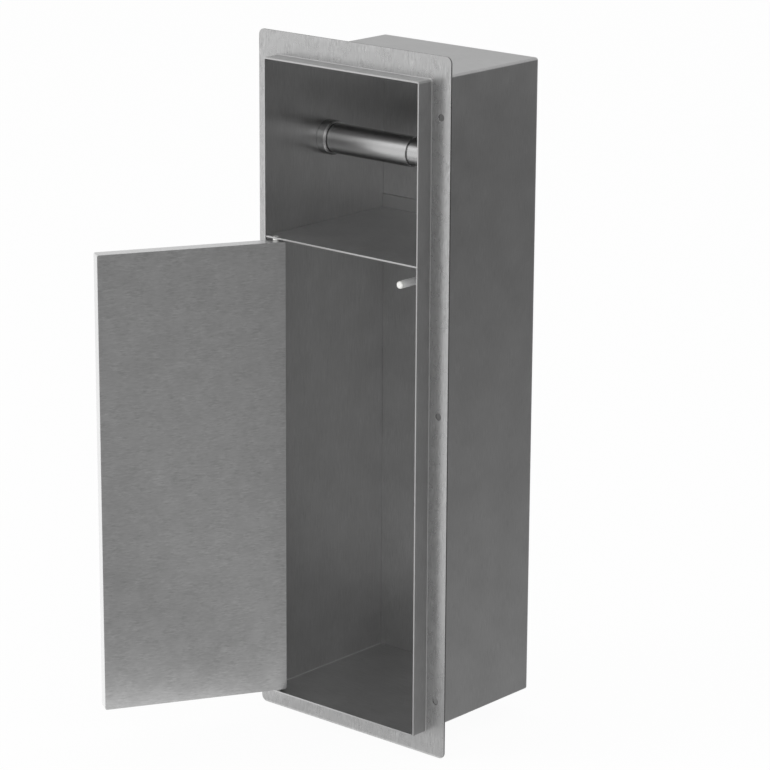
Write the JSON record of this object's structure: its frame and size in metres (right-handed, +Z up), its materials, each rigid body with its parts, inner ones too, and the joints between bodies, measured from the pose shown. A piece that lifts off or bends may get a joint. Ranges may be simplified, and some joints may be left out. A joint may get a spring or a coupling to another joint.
{
  "type": "toilet roll storage cabinet",
  "caption": "Recessed stainless cabinet with a wall flange: an open bay with a sprung roll spindle above a storage bay shut by a hinged push-latch door.",
  "frame": {"origin": "centre of the mounting flange's screw pattern, in the plane of the flange's back face, which is the wall surface", "axes": "+X to the right seen from the room, +Y into the wall, +Z up"},
  "size_m": [0.2618, 0.2888, 0.6],
  "materials": {
    "brushed_stainless": "fine brushed, satin",
    "bright_steel": "turned and ground",
    "white_nylon": "moulded nylon",
    "grey_plastic": "moulded acetal",
    "spring_wire": "drawn wire"
  },
  "bodies": {
    "cabinet": {"body_wrap": "brushed_stainless", "back_panel": "brushed_stainless", "mounting_flange": "brushed_stainless", "flange_weld": "bright_steel", "shelf": "brushed_stainless", "hinge_bush_top": "white_nylon", "hinge_bush_bottom": "white_nylon", "spindle_boss_left": "brushed_stainless", "spindle_boss_right": "brushed_stainless", "latch_bracket": "brushed_stainless", "latch_barrel": "grey_plastic", "latch_lock_nut": "bright_steel", "latch_rear_plug": "grey_plastic", "latch_spring": "spring_wire"},
    "door": {"door_outer_pan": "brushed_stainless", "door_inner_cover": "brushed_stainless", "hinge_block_top": "bright_steel", "hinge_block_bottom": "bright_steel", "hinge_pin_top": "bright_steel", "hinge_pin_bottom": "bright_steel"},
    "plunger": {"latch_plunger": "grey_plastic", "plunger_tip": "white_nylon"},
    "spindle": {"spindle_outer_tube": "brushed_stainless", "spindle_left_end": "brushed_stainless", "spindle_spring": "spring_wire"},
    "spindle_slider": {"spindle_inner_tube": "brushed_stainless", "spindle_right_end": "brushed_stainless"}
  },
  "joints": [
    {"name": "door_hinge", "type": "hinge", "parent": "cabinet", "child": "door", "pos_m": [-0.075, -0.0137, 0], "axis": [0, 0, 1], "range_deg": [-8, 120]},
    {"name": "latch_press", "type": "slide", "parent": "cabinet", "child": "plunger", "axis": [0, 1, 0], "range_m": [0, 0.01], "stiffness_N_per_m": 150, "springref_m": -0.01, "deforming": ["latch_spring"]},
    {"name": "spindle_spin", "type": "hinge", "parent": "cabinet", "child": "spindle", "pos_m": [0, 0.0605, 0.2015], "axis": [1, 0, 0], "continuous": true},
    {"name": "spindle_compress", "type": "slide", "parent": "spindle", "child": "spindle_slider", "axis": [-1, 0, 0], "range_m": [0, 0.008], "stiffness_N_per_m": 400, "springref_m": -0.012, "deforming": ["spindle_spring"]}
  ]
}
